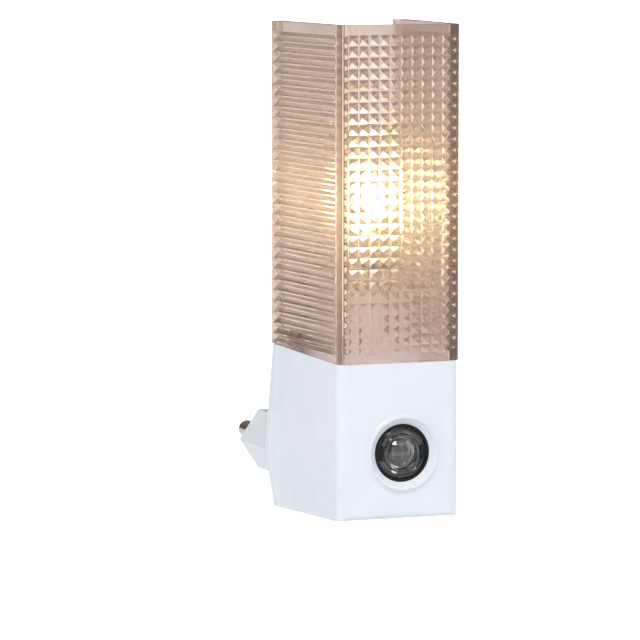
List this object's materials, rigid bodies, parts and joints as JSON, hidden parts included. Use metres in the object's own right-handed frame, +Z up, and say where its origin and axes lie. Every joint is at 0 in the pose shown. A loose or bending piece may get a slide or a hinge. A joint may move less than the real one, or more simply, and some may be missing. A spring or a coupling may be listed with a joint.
{
  "type": "plug-in night light",
  "caption": "Plug-in night light: white housing with a two-pin plug behind, a dusk sensor in front, a screw-in lamp on top and a lift-off prismatic shade",
  "frame": {"origin": "middle of the plug nose's end face, between the two pins", "axes": "+Y along the pins into the wall, +X to the right as the light is faced, +Z up"},
  "size_m": [0.0366, 0.0748, 0.1108],
  "materials": {
    "housing_white": "glossy white moulded plastic",
    "cover_white": "glossy white moulded plastic",
    "screw_steel": "zinc-plated steel",
    "pin_nickel": "nickel-plated brass",
    "sleeve_grey": "dark grey insulation",
    "retainer_plastic": "natural plastic",
    "lead_brown": "brown wire insulation",
    "sensor_black": "glossy black",
    "lens_clear": "clear moulded lens",
    "ldr_orange": "resistor face",
    "board_tan": "phenolic board",
    "board_screw_steel": "zinc-plated steel",
    "capacitor_sleeve": "shrink sleeve",
    "resistor_body": "lacquered body",
    "diode_body": "epoxy body",
    "triac_body": "epoxy body",
    "holder_ivory": "heat-resistant plastic",
    "ring_ivory": "heat-resistant plastic",
    "shell_brass": "pressed brass",
    "contact_bronze": "spring bronze",
    "lead_blue": "blue wire insulation",
    "shade_tint": "clear plastic with a warm mauve tint, prismatic outside (pits in front, flutes at the sides)",
    "bulb_glass": "lightly frosted glass",
    "cap_metal": "nickel-plated cap",
    "insulator_black": "vitrite",
    "contact_solder": "solder",
    "stem_glass": "clear glass",
    "support_nickel": "nickel wire",
    "filament_glow": "tungsten, glowing"
  },
  "bodies": {
    "housing": {"front_housing": "housing_white", "rear_cover": "cover_white", "cover_screws": "screw_steel", "plug_pins": "pin_nickel", "pin_sleeves": "sleeve_grey", "pin_retainer": "retainer_plastic", "pin_leads": "lead_brown", "sensor_cup": "sensor_black", "sensor_lens": "lens_clear", "light_sensor": "ldr_orange", "control_board": "board_tan", "board_screws": "board_screw_steel", "capacitor": "capacitor_sleeve", "resistors": "resistor_body", "rectifier_diodes": "diode_body", "triac": "triac_body", "lamp_holder": "holder_ivory", "holder_ring": "ring_ivory", "threaded_shell": "shell_brass", "centre_contact": "contact_bronze", "holder_leads": "lead_blue"},
    "shade": {"shade": "shade_tint"},
    "lamp_contact": {"bulb_contact": "contact_solder"},
    "lamp": {"bulb_glass": "bulb_glass", "bulb_cap": "cap_metal", "bulb_insulator": "insulator_black", "bulb_stem": "stem_glass", "support_wires": "support_nickel", "filament": "filament_glow"}
  },
  "joints": [
    {"name": "shade_lift", "type": "slide", "parent": "housing", "child": "shade", "axis": [0, 0, 1], "range_m": [0, 0.06]},
    {"name": "lamp_lift", "type": "slide", "parent": "housing", "child": "lamp_contact", "axis": [0, 0, 1], "range_m": [0, 0.01]},
    {"name": "lamp_turn", "type": "hinge", "parent": "lamp_contact", "child": "lamp", "pos_m": [0, -0.0365, 0.021], "axis": [0, 0, 1], "range_deg": [0, 1260]}
  ],
  "couplings": [
    {"joint": "lamp_lift", "follows": "lamp_turn", "m_per_rad": 0.00044882}
  ]
}
